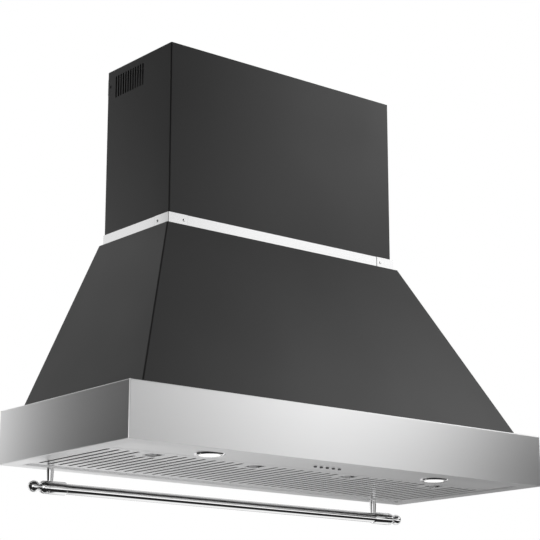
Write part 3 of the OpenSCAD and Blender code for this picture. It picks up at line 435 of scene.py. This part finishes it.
FLANGE_R = 9.2
STUD_R = 3
POST_L = 33
low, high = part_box("rail_posts")
stud_top = depth_below(0, high[2])
turned("rail_posts", hung_pair(low, high, FLANGE_R, 0), [
    (stud_top, 0), (stud_top, STUD_R), (0, STUD_R), (0, FLANGE_R),
    (0.8, 9.2), (1.2, 9.0), (1.5, 8.5), (1.7, 8.3), (10, 7.85), (20, 7.3), (POST_L, 6.6), (POST_L, 0)])

# Domed heads for the band's screws, on their shanks

HEAD_R = 3.3
HEAD_H = 1.6
SHANK_R = 1.6
SHANK_L = 3.9
SCREW_FROM_CORNER = 43.0 * MM
low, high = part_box("band_screws")
band_low, band_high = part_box("band_corners")
screw_z = middle(low[2], high[2])
front_y, half_w = band_low[1], band_high[0]
screws = []
for side in (-1, 1):
    screws.append(((side * (half_w - SCREW_FROM_CORNER), front_y, screw_z), (0, -1, 0)))
    screws.append(((side * half_w, front_y + SCREW_FROM_CORNER, screw_z), (side, 0, 0)))
shank = [(-SHANK_L, 0), (-SHANK_L, SHANK_R), (0, SHANK_R), (0, HEAD_R)]
dome = [(HEAD_H * math.cos(math.radians(a)), HEAD_R * math.sin(math.radians(a))) for a in range(81, 0, -9)]
turned("band_screws", screws, shank + dome + [(HEAD_H, 0)], 40)

# Bezels with rounded rings, and button caps with rounded edges

UNDERSIDE_H = 2.8
BEZEL_R = 34.0
NECK_OUT, NECK_IN = 28.6, 27.2
low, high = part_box("light_bezels")
neck_top = depth_below(UNDERSIDE_H, high[2])
turned("light_bezels", hung_pair(low, high, BEZEL_R, UNDERSIDE_H), [
    (neck_top, NECK_OUT), (0, NECK_OUT), (0, BEZEL_R), (2.7, 32.5), (3.1, 31.9), (3.35, 31.0),
    (3.5, 29.6), (3.5, 28.2), (3.45, 27.0), (3.3, 25.2), (3.05, 23.9), (2.8, 23.2), (2.5, 23.0),
    (2.5, NECK_IN), (neck_top, NECK_IN), (neck_top, NECK_OUT)], 96)

STEM_R = 2
COLLAR_R = 5.5
COLLAR_TOP, COLLAR_LOW = -4.7, -3.2
CAP_R = 3.9
for key_name in ("fan_off", "low_speed", "middle_speed", "high_speed", "light"):
    name = key_name + "_button"
    low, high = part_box(name)
    button = (middle(low[0], high[0]), middle(low[1], high[1]), (UNDERSIDE_H - HANG_H) * MM)
    stem_top = depth_below(UNDERSIDE_H, high[2])
    drop = depth_below(UNDERSIDE_H, low[2])
    turned(name, [(button, DOWN)], [
        (stem_top, 0), (stem_top, STEM_R), (COLLAR_TOP, STEM_R), (COLLAR_TOP, COLLAR_R),
        (COLLAR_LOW, COLLAR_R), (COLLAR_LOW, CAP_R), (0, CAP_R),
        (drop - 0.15, 3.4), (drop, 3.1), (drop - 0.05, 2.4), (drop - 0.15, 1.6), (drop - 0.2, 0)], 40)


# Floor and key light

def stage_plane(name, low, high, material):
    """A level or upright rectangle of the set, from its lowest and its highest corner."""
    first = next(axis for axis in range(3) if low[axis] != high[axis])
    second_corner, last_corner = list(low), list(high)
    second_corner[first] = high[first]
    last_corner[first] = low[first]
    mesh = bpy.data.meshes.new(name)
    mesh.from_pydata([low, second_corner, high, last_corner], [], [(0, 1, 2, 3)])
    mesh.materials.append(material)
    piece = bpy.data.objects.new(name, mesh)
    scene.collection.objects.link(piece)
    return piece


FLOOR_Z = -5.0
FLOOR_REACH = 400
m = Surface("floor")
m.set(Base_Color=m.mix(m.noise(0.8), grey(0.80), grey(0.84)), Roughness=0.6)
floor_low = (-FLOOR_REACH, -FLOOR_REACH, FLOOR_Z)
floor_high = (FLOOR_REACH, FLOOR_REACH, FLOOR_Z)
floor = stage_plane("floor", floor_low, floor_high, m.material)
floor.visible_glossy = False

KEY_AT = Vector((-1.5, -3.5, 2.5))
KEY_TARGET = Vector((0, -0.2, 0))
KEY_SIZE = 2.0
KEY_POWER = 60
key_data = bpy.data.lights.new("key", "AREA")
key_data.shape = "RECTANGLE"
key_data.size = KEY_SIZE
key_data.size_y = KEY_SIZE
key_data.energy = KEY_POWER
key = bpy.data.objects.new("key", key_data)
key.location = KEY_AT
key.rotation_euler = (KEY_TARGET - KEY_AT).to_track_quat("-Z", "Y").to_euler()
key.visible_glossy = False
scene.collection.objects.link(key)


# Sky: white to the camera, even and soft as a light, and a room in grey levels to mirrors

LEVEL_MAX = 4.0  # a colour ramp ends at 1, so it holds grey levels as shares of this
SOFT_LIGHT = 0.55
TOWARD_VIEWER = (-0.6, -0.8)


def stops(m, value, low, high, levels):
    """Grey levels at places along one axis, from (place, level) pairs, as a colour."""
    ramp = m.add("ShaderNodeValToRGB", {"Fac": m.ramp(value, 0.0, 1.0, low, high)})
    points = ramp.color_ramp.elements
    while len(points) < len(levels):
        points.new(0.5)
    for point, (place, level) in zip(points, levels):
        point.position = (place - low) / (high - low)
        point.color = grey(level / LEVEL_MAX)
    return ramp.outputs["Color"]


world = bpy.data.worlds.new("world")
scene.world = world
world.use_nodes = True
sky = Nodes(world.node_tree, "Generated")
axes = sky.axes()

# The mirrored room: white low down, darker overhead and where the viewer stands
overhead_levels = [(-1, 1.0), (0.45, 1.0), (0.62, 0.88), (0.74, 0.58), (0.82, 0.3), (0.9, 0.2), (1, 0.15)]
overhead = sky.math("MULTIPLY", sky.red_of(stops(sky, axes["Z"], -1, 1, overhead_levels)), LEVEL_MAX)
toward_x = sky.math("MULTIPLY", axes["X"], TOWARD_VIEWER[0])
toward_y = sky.math("MULTIPLY", axes["Y"], TOWARD_VIEWER[1])
viewer = sky.ramp(sky.math("ADD", toward_x, toward_y), 1.0, 0.05, 0.1, 0.45)

# Its two dark places: behind the hood, and to the right, just above the horizon
behind = sky.product(sky.ramp(axes["Y"], 0.0, 0.6, 0.7, 0.92), sky.ramp(axes["Z"], 0.0, 1.0, 0.15, 0.3))
beyond = sky.product(
    sky.ramp(axes["X"], 0.0, 1.0, 0.2, 0.45), sky.ramp(axes["Y"], 0.0, 1.0, -0.35, -0.1),
    sky.ramp(axes["Z"], 0.0, 0.96, -0.05, 0.05), sky.ramp(axes["Z"], 1.0, 0.0, 0.4, 0.6))
room = sky.product(overhead, viewer, sky.math("SUBTRACT", 1.0, behind), sky.math("SUBTRACT", 1.0, beyond))


def background(strength):
    return sky.add("ShaderNodeBackground", {"Color": (1, 1, 1, 1), "Strength": strength}).outputs[0]


def either(choice, a, b):
    return sky.add("ShaderNodeMixShader", {0: choice, 1: a, 2: b}).outputs[0]


path = sky.add("ShaderNodeLightPath").outputs
unmirrored = sky.math("MAXIMUM", path["Is Camera Ray"], path["Is Transmission Ray"])
lit = either(path["Is Glossy Ray"], background(SOFT_LIGHT), background(room))
sky.feed(sky.tree.nodes["World Output"].inputs["Surface"], either(unmirrored, lit, background(1.0)))


# Cards that the metal reflects

class Card(Surface):
    """A card beside the set that only mirrors can see, with grey levels along one of its axes."""

    def __init__(self, name, axis, low, high):
        super().__init__(name)
        self.name = name
        self.low = low
        self.high = high
        self.tree.nodes.remove(self.shader)
        self.glow = self.add("ShaderNodeEmission", {"Strength": LEVEL_MAX})
        self.feed(self.tree.nodes["Material Output"].inputs["Surface"], self.glow.outputs[0])
        self.material.cycles.emission_sampling = "NONE"
        axes = self.axes()
        self.x = axes["X"]
        self.z = axes["Z"]
        self.along = axes[axis]
        self.start, self.end = low["XY".index(axis)], high["XY".index(axis)]

    def levels(self, *pairs):
        return stops(self, self.along, self.start, self.end, pairs)

    def scaled_by(self, colour, factor):
        node = self.add("ShaderNodeVectorMath", {0: colour, "Scale": factor}, operation="SCALE")
        return node.outputs["Vector"]

    def layers(self, colour, *zones):
        """A colour with zones over it, from (colour, start, end), each blended in between two heights."""
        for zone, start, end in zones:
            colour = self.mix(self.ramp(self.z, 0.0, 1.0, start, end), colour, zone)
        return colour

    def stand(self, colour):
        self.feed(self.glow.inputs["Color"], colour)
        piece = stage_plane(self.name, self.low, self.high, self.material)
        piece.visible_camera = False
        piece.visible_diffuse = False
        piece.visible_shadow = False
        piece.visible_transmission = False
        piece.visible_volume_scatter = False


DARK = grey(0.02 / LEVEL_MAX)

card = Card("front_card", "X", (-3, -1.6, -1.4), (5, -1.6, 2.2))
rail_zone = card.levels((-3, 1.3), (5, 1.25))
low_zone = card.levels((-3, 1.0), (-1.5, 0.9), (-0.8, 0.5), (0.1, 0.55), (0.85, 1.2), (1.3, 0.85),
                       (1.65, 0.22), (1.8, 0.02), (5, 0.02))
low_zone = card.scaled_by(low_zone, card.ramp(card.z, 0.62, 1.4, -0.22, 0.06))
gap_zone = card.levels((-3, 0.03), (0.5, 0.03), (0.9, 0.3), (1.4, 1.6), (2.0, 1.6), (2.3, 0.05), (5, 0.05))
band_zone = card.levels((-3, 0.1), (0.1, 0.1), (0.5, 0.85), (0.9, 1.05), (5, 1.05))
high_zone = card.levels((-3, 0.02), (0.2, 0.03), (0.6, 0.09), (0.95, 0.58), (1.4, 2.1), (2.2, 2.6), (5, 1.0))
card.stand(card.layers(
    DARK, (rail_zone, -1.10, -1.02), (low_zone, -0.72, -0.55), (gap_zone, 0.2, 0.3), (band_zone, 0.48, 0.54),
    (high_zone, 0.76, 0.85)))

card = Card("left_card", "Y", (-1.2, -2, -1.4), (-1.2, 6, 4.5))
below = card.levels((-2, 1.3), (-0.45, 1.3), (-0.35, 0.02), (0.95, 0.02), (1.15, 1.2), (2.0, 1.2),
                    (2.3, 0.05), (6, 0.05))
low_zone = card.levels((-2, 0.5), (-0.45, 0.4), (-0.35, 0.05), (0.2, 0.09), (0.55, 0.09), (0.8, 0.13),
                       (0.96, 0.5), (1.12, 1.4), (2.0, 1.5), (2.3, 0.05), (6, 0.05))
band_zone = card.levels((-2, 0.02), (0.7, 0.02), (1.0, 0.86), (6, 0.9))
high_zone = card.levels((-2, 0.02), (0.6, 0.02), (0.9, 0.10), (1.3, 0.74), (3.0, 0.14), (3.6, 0.50),
                        (4.4, 1.0), (6, 1.2))
high_zone = card.scaled_by(high_zone, card.ramp(card.z, 1.2, 0.9, 1.2, 2.8))
card.stand(card.layers(
    DARK, (below, -0.78, -0.70), (low_zone, -0.24, -0.18), (band_zone, 0.4, 0.5), (high_zone, 0.76, 0.85)))

card = Card("rear_card", "X", (-3, 0.7, -2.05), (5, 0.7, -0.40))
low_zone = card.levels((-3, 0.05), (0.2, 0.05), (0.4, 1.0), (5, 1.0))
high_zone = card.levels((-3, 0.92), (0.0, 0.87), (0.8, 0.54), (1.5, 0.26), (2.6, 0.2), (5, 0.5))
card.stand(card.layers(low_zone, (high_zone, -1.14, -1.02)))

card = Card("low_card", "Y", (-3, -2.4, -1.4), (4, 0.2, -1.4))
near_rail = card.levels((-2.4, 0.02), (-0.28, 0.02), (-0.18, 1.0), (0.2, 1.0))
card.stand(card.mix(card.ramp(card.x, 0.0, 1.0, 0.12, 0.25), DARK, near_rail))
